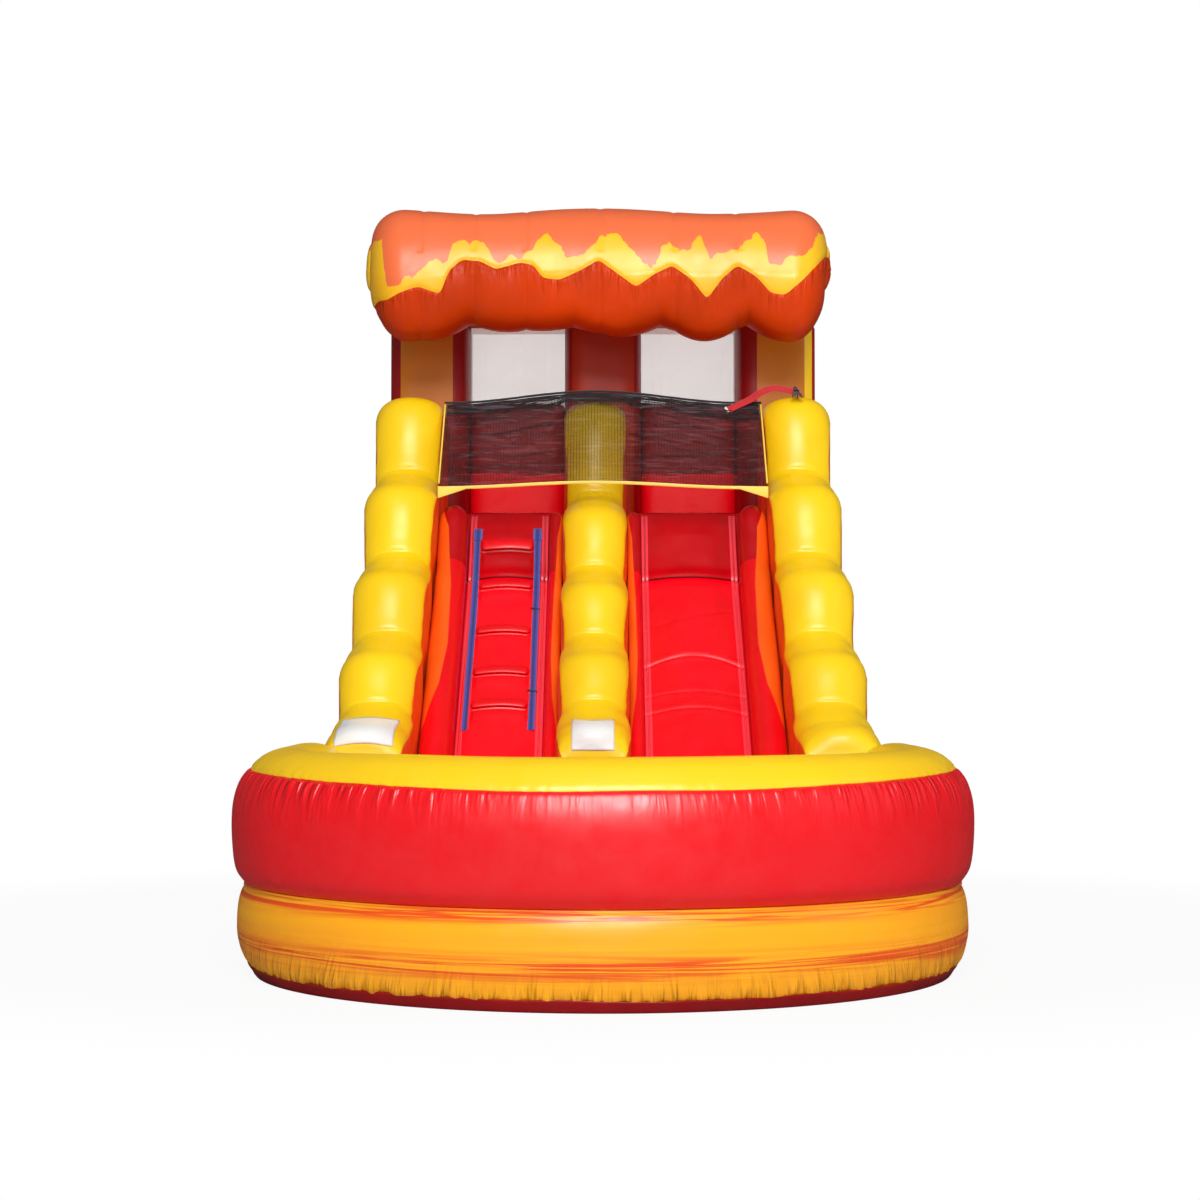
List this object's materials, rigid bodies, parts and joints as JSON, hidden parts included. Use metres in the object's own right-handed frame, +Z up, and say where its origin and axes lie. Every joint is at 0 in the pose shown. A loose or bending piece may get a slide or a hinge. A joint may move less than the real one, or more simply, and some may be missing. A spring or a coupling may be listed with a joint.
{
  "type": "inflatable water slide",
  "caption": "Inflatable water slide: climbing lane with rungs and a slide lane between stepped walls, net-fronted platform under a wave roof, round splash pool.",
  "frame": {"origin": "on the ground, midway between the two sides and midway between the pool's front and the inlet sleeve's end", "axes": "+Z up, -Y towards the pool's front, +X to the right of someone facing the pool from in front"},
  "size_m": [3.84, 8.0612, 4.8495],
  "materials": {
    "yellow_vinyl": "satin-gloss PVC coated fabric",
    "orange_vinyl": "satin-gloss PVC coated fabric",
    "red_vinyl": "satin-gloss PVC coated fabric",
    "dark_red_vinyl": "satin-gloss PVC coated fabric",
    "marbled_vinyl": "printed PVC coated fabric, flame marbling",
    "flame_vinyl": "printed PVC coated fabric, flames",
    "blue_webbing": "woven webbing",
    "black_webbing": "woven webbing and netting",
    "pale_net": "fine netting",
    "steel": "zinc-plated"
  },
  "bodies": {
    "slide_body": {"pool_base": "red_vinyl", "body_base": "dark_red_vinyl", "pool_lower_ring": "marbled_vinyl", "pool_upper_ring": "red_vinyl", "left_wall": "yellow_vinyl", "right_wall": "yellow_vinyl", "centre_wall": "yellow_vinyl", "climb_bed": "red_vinyl", "climb_bed_top": "red_vinyl", "slide_bed": "red_vinyl", "slide_bed_top": "red_vinyl", "climb_cover": "red_vinyl", "slide_cover": "red_vinyl", "climb_outer_bolster": "orange_vinyl", "climb_inner_bolster": "orange_vinyl", "slide_outer_bolster": "orange_vinyl", "slide_inner_bolster": "orange_vinyl", "ladder_rung_1": "red_vinyl", "ladder_rung_2": "red_vinyl", "ladder_rung_3": "red_vinyl", "ladder_rung_4": "red_vinyl", "ladder_rung_5": "red_vinyl", "left_hand_strap": "blue_webbing", "right_hand_strap": "blue_webbing", "lower_strap_tie": "black_webbing", "upper_strap_tie": "black_webbing", "platform": "red_vinyl", "left_column": "yellow_vinyl", "centre_column": "orange_vinyl", "right_column": "yellow_vinyl", "left_rear_panel": "dark_red_vinyl", "right_rear_panel": "dark_red_vinyl", "left_window_net": "pale_net", "right_window_net": "pale_net", "wave_roof": "flame_vinyl", "front_net": "black_webbing", "net_hem": "yellow_vinyl", "left_net_piping": "yellow_vinyl", "right_net_piping": "yellow_vinyl", "net_top_rope": "black_webbing", "net_strap": "red_vinyl", "net_strap_keeper": "black_webbing", "inlet_sleeve": "dark_red_vinyl", "sleeve_strap": "black_webbing", "zip_tape": "black_webbing", "zip_flap_hem": "dark_red_vinyl", "left_front_anchor_tab": "black_webbing", "left_rear_anchor_tab": "black_webbing", "right_front_anchor_tab": "black_webbing", "right_rear_anchor_tab": "black_webbing", "back_left_anchor_tab": "black_webbing", "back_right_anchor_tab": "black_webbing"},
    "slider": {"zip_slider": "steel"},
    "flap": {"zip_flap": "dark_red_vinyl"},
    "left_front_ring": {"left_front_anchor_ring": "steel"},
    "left_rear_ring": {"left_rear_anchor_ring": "steel"},
    "right_front_ring": {"right_front_anchor_ring": "steel"},
    "right_rear_ring": {"right_rear_anchor_ring": "steel"},
    "back_left_ring": {"back_left_anchor_ring": "steel"},
    "back_right_ring": {"back_right_anchor_ring": "steel"}
  },
  "joints": [
    {"name": "zip_slide", "type": "slide", "parent": "slide_body", "child": "slider", "axis": [1, 0, 0], "range_m": [0, 0.45]},
    {"name": "flap_lift", "type": "hinge", "parent": "slide_body", "child": "flap", "pos_m": [-0.625, 3.39815, 0.438], "axis": [1, 0, 0], "range_deg": [0, 110]},
    {"name": "left_front_ring_swing", "type": "hinge", "parent": "slide_body", "child": "left_front_ring", "pos_m": [-1.592, -0.15765, 0.17], "axis": [0, 1, 0], "range_deg": [0, 150]},
    {"name": "left_rear_ring_swing", "type": "hinge", "parent": "slide_body", "child": "left_rear_ring", "pos_m": [-1.592, 1.39235, 0.17], "axis": [0, 1, 0], "range_deg": [0, 150]},
    {"name": "right_front_ring_swing", "type": "hinge", "parent": "slide_body", "child": "right_front_ring", "pos_m": [1.592, -0.15765, 0.17], "axis": [0, -1, 0], "range_deg": [0, 150]},
    {"name": "right_rear_ring_swing", "type": "hinge", "parent": "slide_body", "child": "right_rear_ring", "pos_m": [1.592, 1.39235, 0.17], "axis": [0, -1, 0], "range_deg": [0, 150]},
    {"name": "back_left_ring_swing", "type": "hinge", "parent": "slide_body", "child": "back_left_ring", "pos_m": [-1.26, 3.54185, 0.17], "axis": [1, 0, 0], "range_deg": [0, 150]},
    {"name": "back_right_ring_swing", "type": "hinge", "parent": "slide_body", "child": "back_right_ring", "pos_m": [1.26, 3.54185, 0.17], "axis": [1, 0, 0], "range_deg": [0, 150]}
  ]
}
